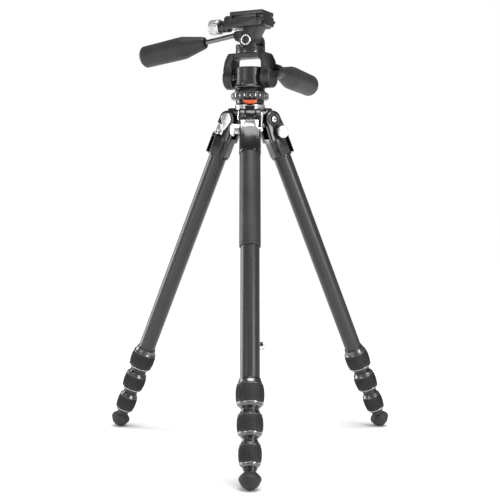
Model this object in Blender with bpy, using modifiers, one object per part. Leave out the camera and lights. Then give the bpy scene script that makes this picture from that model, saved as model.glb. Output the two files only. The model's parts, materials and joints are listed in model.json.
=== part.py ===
"""Carbon tripod with a two-handle pan head, legs spread and all sections closed.

Lengths in the constants and in every helper call are in millimetres; the helpers make metres.
Z is up, the front leg points towards -Y, and the origin is on the floor under the middle of the
tripod's bounding box. Each leg has its own frame: origin on its hinge, X outwards, Y along the
hinge bolt and Z back up the leg, so that a point S down the leg has z = -S. The head has a frame
turned about the column: X along the crossbar, Y to the back.
"""

import math

import bmesh
import bpy
from mathutils import Matrix

MM = 0.001
GAP = 0.3                     # running clearance between neighbouring pieces

# Legs: hinge, spread and telescopic sections
LEG_TILT = math.radians(24.05)
HINGE_RHO = 31.0              # hinge axis from the column axis
HINGE_Z = 476.8               # hinge axis above the floor
LEG_BEARINGS = {"front": -90.0, "right": 30.0, "left": 150.0}
TUBE_R = (13.0, 11.25, 9.5, 7.75)
TUBE_WALL = 1.45
TUBE_TOP = (32.3, 50.0, 58.0, 66.0)
TUBE_END = (396.0, 436.0, 474.0, 504.7)
LOCK_TOP = (380.0, 421.5, 459.5)
LOCK_LENGTH = (38.5, 35.0, 35.0)
LOCK_R = (18.4, 16.85, 14.8)
BALL_R = 14.6                 # rubber foot
BALL_S = 506.1
CHEEK_R = 12.5                # hinge cheeks of the leg yoke
CHEEK_IN = 7.2
CHEEK_OUT = 15.0
SOCKET_R = 15.2
YOKE_END = 58.0
BOLT_R = 3.0
BUTTON_CENTRE = (8.0, 19.0)   # angle button block: outwards, down the leg
BUTTON_R = 8.3
SLEEVE = (58.5, 198.0, 14.7)  # grip sleeve: top, end, radius

# Column and spider
COLUMN_R = 13.0
SPIDER_R = 19.5
SPIDER_Z = (462.5, 489.0)
LUG_HALF = 6.9
HOOK_Z = 148.0                # bag hook pivot

# Head
HEAD_YAW = math.radians(-27.0)
PLATFORM_RING = (503.5, 515.0, 27.4)
PAN_Z = 521.0                 # underside of the turning barrel
BARREL_TOP = 550.6
TILT_Z = 536.0                # front tilt axis, along the head's X
HUB_R = 15.8
ARM_IN = 23.5
ARM_OUT = 37.5
CROSSBAR = (564.4, 571.0)
SIDE_Z = 589.1                # side tilt axis, along the head's Y
RING_R = 11.4
SHAFT_R = 8.0
CLAMP_Z = (607.5, 618.0)      # clamp body: underside and bed
JAW_TOP = 623.6
PLATE_TOP = 629.5
GRIP_LENGTH = 110.0
GRIP_R = 16.9
GRIP_NECK_R = 8.6
ROD_R = 3.6
LEFT_ROD = (-24.0, 598.8, math.radians(8.0))   # lug face, height, droop of the left handle
RIGHT_ROD = (35.0, 545.8, math.radians(4.0))   # axis offset, height, droop of the right handle
RIGHT_GRIP = 27.4             # where the right grip starts along its rod


# ---------------------------------------------------------------- scene and materials

def empty_scene():
    for obj in list(bpy.data.objects):
        bpy.data.objects.remove(obj, do_unlink=True)


def collection(name):
    made = bpy.data.collections.new(name)
    bpy.context.scene.collection.children.link(made)
    return made


def material(name, colour, roughness, metallic=0.0):
    made = bpy.data.materials.new(name)
    made.use_nodes = True
    shader = made.node_tree.nodes["Principled BSDF"]
    shader.inputs["Base Color"].default_value = (*colour, 1.0)
    shader.inputs["Roughness"].default_value = roughness
    shader.inputs["Metallic"].default_value = metallic
    made.diffuse_color = (*colour, 1.0)
    return made


empty_scene()
PARTS = collection("tripod_with_pan_head")
CUTTERS = collection("cutters")

CARBON = material("carbon_tube", (0.035, 0.036, 0.038), 0.42)
RUBBER = material("rubber", (0.02, 0.02, 0.02), 0.85)
CASTING = material("black_casting", (0.03, 0.03, 0.032), 0.35, 0.2)
ANODISED = material("anodised_black", (0.045, 0.045, 0.047), 0.3, 0.6)
SILVER = material("polished_silver", (0.78, 0.78, 0.78), 0.2, 1.0)
STEEL = material("steel", (0.6, 0.6, 0.6), 0.3, 1.0)
ORANGE = material("orange_anodised", (0.85, 0.16, 0.04), 0.35, 0.3)


# ---------------------------------------------------------------- frames and helpers

def frame(name, parent=None, place=(0, 0, 0), turn=(0, 0, 0)):
    """An empty that carries a group of pieces, on the joint's axis where the group moves."""
    made = bpy.data.objects.new(name, None)
    PARTS.objects.link(made)
    made.parent = parent
    made.location = [x * MM for x in place]
    made.rotation_euler = turn
    return made


def put(name, mesh, parent, finish, place=(0, 0, 0), turn=(0, 0, 0), cutter=False):
    """A mesh as a named object in its parent's frame, or as a hidden helper of a Boolean."""
    made = bpy.data.objects.new(name, mesh)
    (CUTTERS if cutter else PARTS).objects.link(made)
    made.parent = parent
    made.location = [x * MM for x in place]
    made.rotation_euler = turn
    if cutter:
        made.hide_render = True
        made.display_type = "WIRE"
    else:
        mesh.materials.append(finish)
        mesh.shade_smooth()
        mesh.set_sharp_from_angle(angle=math.radians(35))
    return made


def cylinder(radius, start, end, axis="Z", centre=(0, 0), sides=24, end_radius=None):
    """A cylinder or cone along one axis, from start to end, centred on the other two."""
    work = bmesh.new()
    top = radius if end_radius is None else end_radius
    bmesh.ops.create_cone(work, cap_ends=True, segments=sides, radius1=radius * MM,
                          radius2=top * MM, depth=(end - start) * MM)
    a, b = centre
    middle = (start + end) / 2
    if axis == "X":
        matrix = Matrix.Translation([middle * MM, a * MM, b * MM]) @ Matrix.Rotation(math.pi / 2, 4, "Y")
    elif axis == "Y":
        matrix = Matrix.Translation([a * MM, middle * MM, b * MM]) @ Matrix.Rotation(-math.pi / 2, 4, "X")
    else:
        matrix = Matrix.Translation([a * MM, b * MM, middle * MM])
    bmesh.ops.transform(work, matrix=matrix, verts=work.verts)
    return finish_mesh(work, "cylinder")


def block(low, high):
    """A box between two corners."""
    work = bmesh.new()
    bmesh.ops.create_cube(work, size=1.0)
    for corner in work.verts:
        corner.co = [(lo + (c + 0.5) * (hi - lo)) * MM for c, lo, hi in zip(corner.co, low, high)]
    return finish_mesh(work, "block")


def finish_mesh(work, name):
    mesh = bpy.data.meshes.new(name)
    work.to_mesh(mesh)
    work.free()
    return mesh


def profile_mesh(points, closed):
    """The half section of a turned piece, as (radius, height) points down its outer side."""
    mesh = bpy.data.meshes.new("profile")
    links = [(i, i + 1) for i in range(len(points) - 1)]
    if closed:
        links.append((len(points) - 1, 0))
    mesh.from_pydata([(r * MM, 0, z * MM) for r, z in points], links, [])
    return mesh


def turned(name, points, parent, finish, place=(0, 0, 0), turn=(0, 0, 0), steps=24, closed=False,
           cutter=False):
    """A piece turned about its own Z from a half section."""
    mesh = profile_mesh(points, closed)
    made = bpy.data.objects.new(name, mesh)
    (CUTTERS if cutter else PARTS).objects.link(made)
    made.parent = parent
    made.location = [x * MM for x in place]
    made.rotation_euler = turn
    mesh.materials.append(finish)
    screw = made.modifiers.new("turn", "SCREW")
    screw.steps = steps
    screw.render_steps = steps
    screw.use_merge_vertices = True
    screw.merge_threshold = 0.00001
    screw.use_smooth_shade = True
    if cutter:
        made.hide_render = True
        made.display_type = "WIRE"
    return made


def tube(name, radius, wall, top, end, parent, finish, steps=20):
    """A plain tube down a leg or along the column, from height top to height end."""
    inner = radius - wall
    points = [(radius, top), (radius, end), (inner, end), (inner, top)]
    return turned(name, points, parent, finish, steps=steps, closed=True)


def prism(outline, low, high):
    """A flat outline of (x, z) points, filled and extruded along Y, as a mesh."""
    curve = bpy.data.curves.new("outline", "CURVE")
    curve.dimensions = "2D"
    curve.fill_mode = "BOTH"
    curve.extrude = (high - low) / 2 * MM
    line = curve.splines.new("POLY")
    line.points.add(len(outline) - 1)
    for point, (a, b) in zip(line.points, outline):
        point.co = (a * MM, b * MM, 0, 1)
    line.use_cyclic_u = True
    holder = bpy.data.objects.new("outline", curve)
    bpy.context.scene.collection.objects.link(holder)
    graph = bpy.context.evaluated_depsgraph_get()
    mesh = bpy.data.meshes.new_from_object(holder.evaluated_get(graph))
    bpy.data.objects.remove(holder, do_unlink=True)
    work = bmesh.new()
    work.from_mesh(mesh)
    bmesh.ops.remove_doubles(work, verts=work.verts, dist=0.00001)
    turn = Matrix.Rotation(math.pi / 2, 4, "X")
    move = Matrix.Translation([0, (low + high) / 2 * MM, 0])
    bmesh.ops.transform(work, matrix=move @ turn, verts=work.verts)
    bmesh.ops.recalc_face_normals(work, faces=work.faces)
    work.to_mesh(mesh)
    work.free()
    return mesh


def arc(radius, start, end, count, centre=(0, 0)):
    """Points on an arc, in degrees."""
    steps = [math.radians(start + (end - start) * i / count) for i in range(count + 1)]
    return [(centre[0] + radius * math.cos(t), centre[1] + radius * math.sin(t)) for t in steps]


def boolean(piece, operation, mesh, place=(0, 0, 0), turn=(0, 0, 0)):
    """Join or cut a piece with a helper mesh that is given in the piece's parent frame."""
    helper = put(f"{piece.name}.{operation.lower()}", mesh, piece.parent, None, place, turn, cutter=True)
    modifier = piece.modifiers.new(operation.lower(), "BOOLEAN")
    modifier.operation = operation
    modifier.object = helper
    modifier.solver = "EXACT"


def join(piece, *meshes):
    for mesh in meshes:
        boolean(piece, "UNION", mesh)


def cut(piece, *meshes):
    for mesh in meshes:
        boolean(piece, "DIFFERENCE", mesh)


# ---------------------------------------------------------------- legs

def foot_reach():
    """How far the lowest section's ball reaches from the column axis."""
    return HINGE_RHO + BALL_S * math.sin(LEG_TILT) + BALL_R


def column_offset():
    """Column axis in Y, which puts the origin under the middle of the bounding box."""
    front = foot_reach()
    centre = foot_reach() - BALL_R
    back = centre * math.sin(math.radians(30)) + BALL_R
    return (front - back) / 2


def leg_yoke(name, hinge):
    """Black casting: two hinge cheeks that run down into the socket for the leg tube."""
    yoke = put(name, cylinder(SOCKET_R, -YOKE_END, -16.0), hinge, CASTING)
    cheek = arc(CHEEK_R, 0, 180, 12) + [(-CHEEK_R, -26.0), (CHEEK_R, -26.0)]
    for side in (-1, 1):
        inner, outer = sorted((side * CHEEK_IN, side * CHEEK_OUT))
        join(yoke, prism(cheek, inner, outer))
    join(yoke, cylinder(10.0, -16.2, -14.0, "Y"))
    x, s = BUTTON_CENTRE
    cut(yoke, cylinder(BUTTON_R + 0.4, -20.0, 20.0, "Y", (x, -s), sides=20),
        block((x, -20.0, -s - BUTTON_R - 0.4), (x + 14.0, 20.0, -s + BUTTON_R + 0.4)),
        block((x - 10.3, -20.0, -27.3), (x + 2.3, -10.0, -14.7)),
        cylinder(BOLT_R + GAP, -20.0, 20.0, "Y", sides=16),
        cylinder(TUBE_R[0] + GAP, -YOKE_END - 5.0, -TUBE_TOP[0] + GAP))
    return yoke


def angle_button(name, hinge):
    """Silver stop block across the yoke, with the push button on one side and a pin on the other."""
    x, s = BUTTON_CENTRE
    button = put(name, cylinder(BUTTON_R, -13.5, 13.5, "Y", (x, -s), sides=20), hinge, SILVER)
    join(button, block((x - 9.0, -24.5, -26.2), (x + 1.2, -13.0, -15.8)),
         cylinder(8.8, -28.2, -23.0, "Y", (x - 5.6, -21.2), sides=24),
         cylinder(3.0, 13.0, 18.2, "Y", (x - 2.0, -22.5), sides=12),
         block((3.0, -5.8, -14.0), (8.0, 2.6, -12.6)))
    return button


def hinge_bolt(name, hinge):
    """Bolt through cheeks and lug: socket head on one side, drop-shaped nut plate on the other."""
    bolt = put(name, cylinder(BOLT_R, -17.0, 17.0, "Y", sides=16), hinge, STEEL)
    drop = arc(9.0, 0, 180, 12, (0, 0)) + [(-6.8, -8.0), (-4.0, -15.0), (-2.6, -16.0), (-1.2, -15.0), (3.4, -8.0)]
    join(bolt, cylinder(4.6, -18.2, -16.5, "Y", sides=20), prism(drop, 15.3, 17.2))
    cut(bolt, cylinder(2.2, -19.0, -17.2, "Y", sides=6))
    return bolt


def twist_lock(name, index, section):
    """Ribbed barrel with a polished ring at each end, bored for its own tube and the next one."""
    top = -LOCK_TOP[index]
    length = LOCK_LENGTH[index]
    radius = LOCK_R[index]
    outer = TUBE_R[index] + GAP
    inner = TUBE_R[index + 1] + GAP
    step = -TUBE_END[index] - GAP
    points = [(outer + 1.2, top), (radius - 1.0, top - 1.2), (radius - 0.5, top - 5.0),
              (radius, top - length * 0.45), (radius - 0.4, top - length + 9.0),
              (radius - 1.2, top - length + 3.4), (outer + 1.0, top - length + 2.2), (outer + 0.8, top - length),
              (inner, top - length), (inner, step), (outer, step), (outer, top)]
    return turned(name, points, section, RUBBER, steps=16, closed=True)


def foot(name, section):
    """Rubber ball foot with the socket that the last tube is bonded into."""
    points = [(9.3, -494.9), (9.3, -497.4), (11.0, -499.0), (13.6, -502.0)]
    tilt = 90 - math.degrees(LEG_TILT)
    for angle in (0, 30, tilt):
        t = math.radians(angle)
        points.append((BALL_R * math.cos(t), -BALL_S - BALL_R * math.sin(t)))
    bore = TUBE_R[3] + GAP
    points += [(0.0, -BALL_S - BALL_R), (0.0, -505.0), (bore, -505.0), (bore, -494.9)]
    return turned(name, points + [points[0]], section, RUBBER, steps=16)


def leg(side, base):
    bearing = math.radians(LEG_BEARINGS[side])
    at = (HINGE_RHO * math.cos(bearing), HINGE_RHO * math.sin(bearing), HINGE_Z)
    hinge = frame(f"leg_{side}_hinge", base, at, (0, -LEG_TILT, bearing))
    leg_yoke(f"leg_{side}_yoke", hinge)
    angle_button(f"leg_{side}_angle_button", hinge)
    hinge_bolt(f"leg_{side}_hinge_bolt", hinge)
    section = hinge
    for index in range(4):
        if index:
            section = frame(f"leg_{side}_section_{index + 1}", section)
        tube(f"leg_{side}_tube_{index + 1}", TUBE_R[index], TUBE_WALL, -TUBE_TOP[index], -TUBE_END[index],
             section, CARBON)
        if index < 3:
            twist_lock(f"leg_{side}_lock_{index + 1}", index, section)
    foot(f"leg_{side}_foot", section)
    if side == "front":
        top, end, radius = SLEEVE
        tube("leg_front_grip_sleeve", radius, radius - TUBE_R[0] - GAP, -top, -end, hinge, RUBBER)


# ---------------------------------------------------------------- spider and column

def spider(base):
    """Hub with a tongue for each leg, and the bearing for the column."""
    low, high = SPIDER_Z
    hub = put("spider", cylinder(SPIDER_R, low, high), base, CASTING)
    outline = arc(12.0, -90, 80, 12, (HINGE_RHO, HINGE_Z))
    outline += [(HINGE_RHO + 2.1, HINGE_Z + 16.5), (23.0, HINGE_Z + 16.5), (23.0, HINGE_Z + 11.5),
                (15.0, HINGE_Z + 11.5), (15.0, HINGE_Z - 12.0)]
    for bearing in LEG_BEARINGS.values():
        turn = Matrix.Rotation(math.radians(bearing), 4, "Z")
        tongue = prism(outline, -LUG_HALF, LUG_HALF)
        hole = cylinder(BOLT_R + GAP, -20.0, 20.0, "Y", (HINGE_RHO, HINGE_Z), sides=16)
        tongue.transform(turn)
        hole.transform(turn)
        join(hub, tongue)
        cut(hub, hole)
    cut(hub, cylinder(COLUMN_R + 0.6, low - 5.0, high + 5.0),
        cylinder(3.0 + GAP, 10.0, 30.0, "Y", (0, HINGE_Z), sides=16))


def column_pieces(base, column):
    """Silver collar on the spider, and the column with its head, tab, top disc and bag hook."""
    collar = turned("silver_collar", [(20.6, 497.5), (22.0, 496.2), (21.0, 489.4), (16.3, 489.4), (16.3, 497.5)],
                    base, SILVER, closed=True, steps=32)
    cut(collar, cylinder(18.5, -40.0, -5.0, "Y", (0, 513.5), sides=32))

    tube("centre_column", COLUMN_R, 2.0, 496.0, 158.3, column, CARBON)
    turned("column_head", [(0, 503.2), (20.5, 503.2), (20.5, 498.4), (15.8, 498.0), (15.8, 490.2),
                           (COLUMN_R + GAP, 490.2), (COLUMN_R + GAP, 496.3), (0, 496.3)], column, CASTING)
    moon = arc(14.0, 217, 323, 12, (0, 511.0))
    put("orange_index_tab", prism(moon, -22.9, -20.9), column, ORANGE)
    low, high, radius = PLATFORM_RING
    turned("platform_disc", [(0, high), (radius - 5.4, high), (radius - 1.6, high - 1.0), (radius, high - 2.8),
                             (radius, low + 2.6), (radius - 2.4, low), (0, low)], column, CASTING, steps=32)

    boss = put("bag_hook_boss", cylinder(12.8, 151.5, 158.0), column, CASTING)
    join(boss, block((-11.5, -4.5, 143.8), (11.5, 4.5, 152.0)),
         cylinder(3.4, 10.0, 19.4, "X", (0, HOOK_Z), sides=16))
    cut(boss, cylinder(1.5, 16.6, 22.0, "X", (0, HOOK_Z), sides=12),
        cylinder(1.5, -14.0, -9.0, "X", (0, HOOK_Z), sides=12))


def bag_hook(column):
    """Wire bail that hangs from the two holes of its boss."""
    pivot = frame("bag_hook_pivot", column, (0, 0, HOOK_Z))
    curve = bpy.data.curves.new("bag_hook", "CURVE")
    curve.dimensions = "3D"
    curve.bevel_depth = 1.15 * MM
    curve.bevel_resolution = 2
    curve.use_fill_caps = True
    route = [(17.2, 0), (20.6, 0), (21.8, -1.2), (21.8, -5.6), (19.4, -8.0)]
    route += [(-12.2, -8.0), (-14.4, -5.6), (-14.4, -1.2), (-13.4, 0), (-10.0, 0)]
    line = curve.splines.new("POLY")
    line.points.add(len(route) - 1)
    for point, (x, z) in zip(line.points, route):
        point.co = (x * MM, 0, z * MM, 1)
    bail = bpy.data.objects.new("bag_hook_bail", curve)
    curve.materials.append(SILVER)
    PARTS.objects.link(bail)
    bail.parent = pivot


def lock_knob(name, parent, place, stem, length, radius):
    """Fluted locking knob on a stem, pointing to the back of its frame."""
    holder = frame(f"{name}_axis", parent, place)
    knob = put(name, cylinder(radius, 0, length, "Y", sides=20), holder, CASTING)
    join(knob, cylinder(3.0, -stem, 0.5, "Y", sides=16))


# ---------------------------------------------------------------- head

def fork(tilt):
    """Yoke over the barrel: hubs on the tilt axis, crossbar, saddle and side shaft housing."""
    rise = CROSSBAR[0] - TILT_Z
    roof = CROSSBAR[1] - TILT_Z
    side = [(ARM_IN, 0), (ARM_IN, rise - 7.0), (ARM_IN - 2.0, rise - 2.0), (ARM_IN - 7.0, rise)]
    rim = [(ARM_OUT, 0), (ARM_OUT, 13.0), (35.0, 24.0), (31.0, 32.0), (28.5, roof)]
    outline = [(-x, z) for x, z in side] + [(x, z) for x, z in reversed(side)]
    outline += rim + [(-x, z) for x, z in reversed(rim)]
    body = put("tilt_fork", prism(outline, -13.5, 13.5), tilt, CASTING)
    up = SIDE_Z - TILT_Z
    housing = arc(12.0, 0, 180, 14, (0, up)) + [(-12.0, roof - 0.6), (12.0, roof - 0.6)]
    join(body, cylinder(HUB_R, ARM_IN - 0.2, ARM_OUT + 0.2, "X", sides=28),
         cylinder(HUB_R, -ARM_OUT - 0.2, -ARM_IN + 0.2, "X", sides=28),
         cylinder(20.75, roof - 1.0, up - 1.4, sides=28),
         prism(housing, 13.4, 25.4), cylinder(10.6, 20.0, 26.6, "Y", (0, up), sides=24))
    offset, height, droop = RIGHT_ROD
    join(body, cylinder(10.6, 6.0, RIGHT_GRIP - 7.4, "Y", (offset + 0.5, height - TILT_Z - 1.2), sides=20))
    cut(body, cylinder(RING_R + 0.8, -24.0, 13.0, "Y", (0, up), sides=28),
        cylinder(SHAFT_R + GAP, 10.0, 25.2, "Y", (0, up), sides=24),
        block((-26.0, -24.0, up - 6.0), (0.0, 13.2, up + 2.0)),
        block((-26.0, -10.0, up - 12.0), (0.0, 10.0, up + 2.0)),
        block((0.0, -13.0, up - 9.0), (26.0, 13.0, up + 2.0)),
        cylinder(6.3, -36.2, 36.2, "X", sides=20))
    wall = cylinder(4.0, 10.0, 30.0, "Y", sides=16)
    wall.transform(Matrix.Translation([offset * MM, 0, (height - TILT_Z) * MM]) @ Matrix.Rotation(-droop, 4, "X"))
    cut(body, wall)


def grip(name, start, parent):
    """Handle grip along its own Z: neck, cone and rounded end."""
    end = start + GRIP_LENGTH
    cone = start + 38.0
    points = [(0, end), (GRIP_R - 6.0, end), (GRIP_R - 2.2, end - 1.6), (GRIP_R, end - 5.6), (GRIP_R, cone),
              (GRIP_R - 0.8, cone - 4.0), (GRIP_NECK_R + 0.4, start + 2.0), (GRIP_NECK_R, start),
              (ROD_R + GAP, start), (ROD_R + GAP, start + 30.0), (0, start + 30.0)]
    turned(name, points, parent, RUBBER, steps=24)


def handles(tilt, platform):
    """Each handle turns about its own rod to lock its axis."""
    offset, height, droop = RIGHT_ROD
    axis = frame("right_handle_axis", tilt, (offset, 0, height - TILT_Z), (-math.pi / 2 - droop, 0, 0))
    put("right_handle_rod", cylinder(ROD_R, 12.0, 53.0, sides=16), axis, STEEL)
    end = RIGHT_GRIP - 0.4
    turned("right_handle_neck", [(8.85, end), (8.85, end - 5.9), (ROD_R + GAP, end - 5.9), (ROD_R + GAP, end)],
           axis, CASTING, closed=True, steps=20)
    grip("right_handle_grip", RIGHT_GRIP, axis)

    x, z, droop = LEFT_ROD
    axis = frame("left_handle_axis", platform, (x, 0, z - SIDE_Z), (0, -math.pi / 2 - droop, 0))
    put("left_handle_rod", cylinder(ROD_R, -8.0, 79.5, sides=16), axis, STEEL)
    grip("left_handle_grip", 50.5, axis)


def platform_body(platform):
    """Top platform: split ring on the side shaft, neck, and the clamp bed with its fixed jaw."""
    low = CLAMP_Z[0] - SIDE_Z
    bed = CLAMP_Z[1] - SIDE_Z
    jaw = JAW_TOP - SIDE_Z
    outline = [(-31.6, low + 1.6), (-30.0, low), (22.0, low), (30.5, low + 7.5), (30.5, bed),
               (-21.5, bed), (-18.0, jaw - 0.2), (-18.0, jaw), (-28.6, jaw), (-31.6, jaw - 3.0)]
    body = put("platform_clamp_body", prism(outline, -21.0, 21.0), platform, CASTING)
    neck = [(-5.2, low + 1.0), (-5.2, 6.0), (0.0, 0.0), (RING_R, 0.0), (15.5, 11.0), (21.0, low + 1.0)]
    lug = [(-19.5, 0.5), (-11.0, -3.0), (-7.0, 0.0), (-7.0, 14.0), (-20.0, 14.0), (-22.6, 12.0), (-22.6, 5.0)]
    join(body, cylinder(RING_R, -12.4, 12.4, "Y", sides=28), prism(neck, -12.4, 12.4),
         prism(lug, -9.0, 9.0))
    front_wall = 620.0 - SIDE_Z
    join(body, block((-22.0, -21.0, bed - 1.0), (21.0, -19.4, front_wall)))
    hole = cylinder(ROD_R + GAP, -12.0, 24.0, sides=16)
    x, z, droop = LEFT_ROD
    hole.transform(Matrix.Translation([x * MM, 0, (z - SIDE_Z) * MM])
                   @ Matrix.Rotation(-math.pi / 2 - droop, 4, "Y"))
    spindle = 612.6 - SIDE_Z
    cut(body, cylinder(SHAFT_R + GAP, -16.0, 16.0, "Y", sides=24),
        block((-7.0, -14.0, 6.0), (-5.2, 14.0, low)), hole,
        cylinder(3.2, -36.0, 36.0, "X", (0, spindle), sides=16),
        block((22.2, -16.3, spindle - 4.3), (33.0, 16.3, bed + 1.0)))


def clamp_pieces(platform):
    """Moving jaw, its knob and spindle, the quick-release plate and the camera screw."""
    spindle = 612.6 - SIDE_Z
    bed = CLAMP_Z[1] - SIDE_Z
    jaw_top = JAW_TOP - SIDE_Z
    outline = [(22.6, spindle - 4.0), (30.3, spindle - 4.0), (30.3, jaw_top - 2.5), (28.4, jaw_top),
               (18.4, jaw_top), (18.4, jaw_top - 0.4), (21.9, bed + 0.3), (22.6, bed + 0.3)]
    jaw = put("moving_jaw", prism(outline, -16.0, 16.0), frame("moving_jaw_slide", platform), ANODISED)
    cut(jaw, cylinder(3.2, 20.0, 28.0, "X", (0, spindle), sides=16))

    axis = frame("clamp_knob_axis", platform, (0, 0, spindle))
    knob = put("clamp_knob", cylinder(11.2, -64.6, -48.0, "X", sides=28), axis, SILVER)
    join(knob, cylinder(8.7, -48.5, -32.0, "X", sides=24), cylinder(2.9, -33.0, 27.0, "X", sides=16))

    slide = frame("plate_slide", platform)
    foot_low = CLAMP_Z[1] + 0.4 - SIDE_Z
    slab_low = JAW_TOP + 0.5 - SIDE_Z
    top = PLATE_TOP - SIDE_Z
    slab = [(28.0, slab_low), (29.0, slab_low + 1.0), (29.0, top - 0.8), (28.2, top), (-22.8, top),
            (-23.6, top - 0.8), (-23.6, slab_low + 1.0), (-22.6, slab_low)]
    dovetail = [(-20.9, foot_low), (20.9, foot_low), (17.6, slab_low), (17.6, slab_low + 1.2),
                (-17.6, slab_low + 1.2), (-17.6, slab_low)]
    plate = put("quick_release_plate", prism(slab, -19.0, 19.0), slide, ANODISED)
    join(plate, prism(dovetail, -17.5, 17.5))
    cut(plate, cylinder(8.2, foot_low - 1.0, foot_low + 7.4, sides=24),
        cylinder(3.3, foot_low, top + 1.0, sides=16))
    screw = put("camera_screw", cylinder(7.6, foot_low + 0.3, foot_low + 2.6, sides=24), slide, STEEL)
    join(screw, cylinder(3.0, foot_low + 2.0, top - 0.3, sides=16))
    cut(screw, block((-9.0, -0.7, foot_low), (9.0, 0.7, foot_low + 1.3)))


def head(column):
    base = frame("head_yaw", column, (0, 0, 0), (0, 0, HEAD_YAW))
    turned("head_base", [(0, 520.6), (21.6, 520.6), (21.8, 519.0), (23.2, 515.3), (0, 515.3)], base, CASTING)
    pan = frame("pan_axis", base, (0, 0, PAN_Z))
    top = BARREL_TOP - PAN_Z
    barrel = turned("pan_barrel", [(0, top), (19.4, top), (20.3, top - 1.0), (20.8, 9.0), (21.8, 4.0), (23.2, 1.6),
                                   (23.0, 0.0), (0, 0.0)], pan, ANODISED, steps=32)
    cut(barrel, cylinder(6.3, -30.0, 30.0, "X", (0, TILT_Z - PAN_Z), sides=20),
        cylinder(3.0 + GAP, 13.0, 30.0, "Y", (0, 7.0), sides=16))
    lock_knob("pan_lock_knob", pan, (0, 26.0, 7.0), 11.0, 12.0, 8.5)
    tilt = frame("tilt_axis", pan, (0, 0, TILT_Z - PAN_Z))
    put("tilt_shaft", cylinder(6.0, -35.9, 35.9, "X", sides=20), tilt, STEEL)
    fork(tilt)
    side_axis = frame("side_shaft_axis", tilt, (0, 0, SIDE_Z - TILT_Z))
    shaft = put("side_shaft", cylinder(SHAFT_R, -14.6, 24.9, "Y", sides=24), side_axis, STEEL)
    cut(shaft, cylinder(5.8, -16.0, -13.6, "Y", sides=20))
    platform = frame("side_tilt_axis", side_axis)
    platform_body(platform)
    clamp_pieces(platform)
    handles(tilt, platform)


def build():
    base = frame("tripod", None, (0, column_offset(), 0))
    for side in LEG_BEARINGS:
        leg(side, base)
    spider(base)
    column = frame("column_slide", base)
    column_pieces(base, column)
    bag_hook(column)
    lock_knob("column_lock_knob", base, (0, 25.0, HINGE_Z), 11.2, 12.0, 9.0)
    head(column)


build()
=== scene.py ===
"""Looks of a carbon tripod with a two-handle pan head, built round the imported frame.

Shapes are made in millimetres in the frame of their group (a leg, the column, the head or a
handle) and set down in metres. In a leg's frame X points outwards, Y along the hinge bolt and Z
back up the leg, so that a point S down the leg has z = -S. In the head's frame X runs along the
crossbar and Y to the back.
"""

import json
import math

import bmesh
import bpy
from mathutils import Matrix, Vector


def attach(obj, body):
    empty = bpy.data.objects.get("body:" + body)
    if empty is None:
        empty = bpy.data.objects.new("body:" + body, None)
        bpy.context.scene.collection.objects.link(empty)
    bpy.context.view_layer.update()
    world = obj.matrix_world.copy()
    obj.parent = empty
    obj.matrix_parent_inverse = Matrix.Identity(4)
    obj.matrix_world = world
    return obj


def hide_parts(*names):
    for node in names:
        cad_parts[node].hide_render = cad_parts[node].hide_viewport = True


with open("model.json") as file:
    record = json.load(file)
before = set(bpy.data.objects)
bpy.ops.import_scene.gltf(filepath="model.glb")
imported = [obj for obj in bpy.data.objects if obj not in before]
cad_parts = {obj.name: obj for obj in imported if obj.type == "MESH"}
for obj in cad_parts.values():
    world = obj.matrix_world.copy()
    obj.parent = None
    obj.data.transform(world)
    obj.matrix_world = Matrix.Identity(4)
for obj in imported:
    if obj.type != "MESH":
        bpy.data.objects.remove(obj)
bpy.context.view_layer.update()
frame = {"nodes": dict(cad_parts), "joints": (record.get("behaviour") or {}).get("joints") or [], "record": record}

MM = 0.001
SLIT = 0.3                    # air between a piece and what it slides in
WEAVE = 1.2                   # width of one carbon tow
SIDES = ("front", "right", "left")
JOINTS = {joint["name"]: joint for joint in frame["joints"]}
BODY_OF = {node: body for body, nodes in frame["record"]["behaviour"]["bodies"].items() for node in nodes}


# ---------------------------------------------------------------- places

def place_of(origin, x_axis, z_axis):
    """Rigid matrix of a group's frame from its origin and two of its axes."""
    x, z = Vector(x_axis).normalized(), Vector(z_axis).normalized()
    turn = Matrix((x, z.cross(x), z)).transposed()
    return Matrix.Translation(origin) @ turn.to_4x4()


def position(joint):
    return Vector(JOINTS[joint]["pos_m"])


def axis_of(joint):
    return Vector(JOINTS[joint]["axis"])


def height_of(joint):
    """Height of a joint above the ground, in millimetres."""
    return JOINTS[joint]["pos_m"][2] / MM


def leg_place(side):
    spread = f"leg_{side}_spread"
    down = axis_of(f"leg_{side}_section_2_slide")
    return place_of(position(spread), axis_of(spread).cross(down), -down)


UP = Vector((0, 0, 1))
COLUMN_FOOT = position("pan") * Vector((1, 1, 0))
BASE = place_of(COLUMN_FOOT, (1, 0, 0), UP)
HEAD = place_of(COLUMN_FOOT, axis_of("front_tilt"), UP)
RIGHT_HANDLE = place_of(position("right_handle_twist"), axis_of("front_tilt"), axis_of("right_handle_twist"))
LEFT_HANDLE = place_of(position("left_handle_twist"), axis_of("side_tilt"), axis_of("left_handle_twist"))
TILT_Z = height_of("front_tilt")
SIDE_Z = height_of("side_tilt")
CLAMP_Z = height_of("clamp_knob_turn")
HOOK_Z = height_of("bag_hook_swing")
BED_Z = 618.0                 # top of the clamp's bed


def into_head(place):
    """Carries millimetres in another group's frame over to the head's."""
    return Matrix.Scale(1 / MM, 4) @ HEAD.inverted() @ place @ Matrix.Scale(MM, 4)


def extent(node, place):
    """Lowest and highest corner of a CAD node in a group's frame, in millimetres."""
    back = place.inverted()
    points = [back @ vertex.co / MM for vertex in frame["nodes"][node].data.vertices]
    return [Vector(pick(p[i] for p in points) for i in range(3)) for pick in (min, max)]


# ---------------------------------------------------------------- shapes

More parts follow.
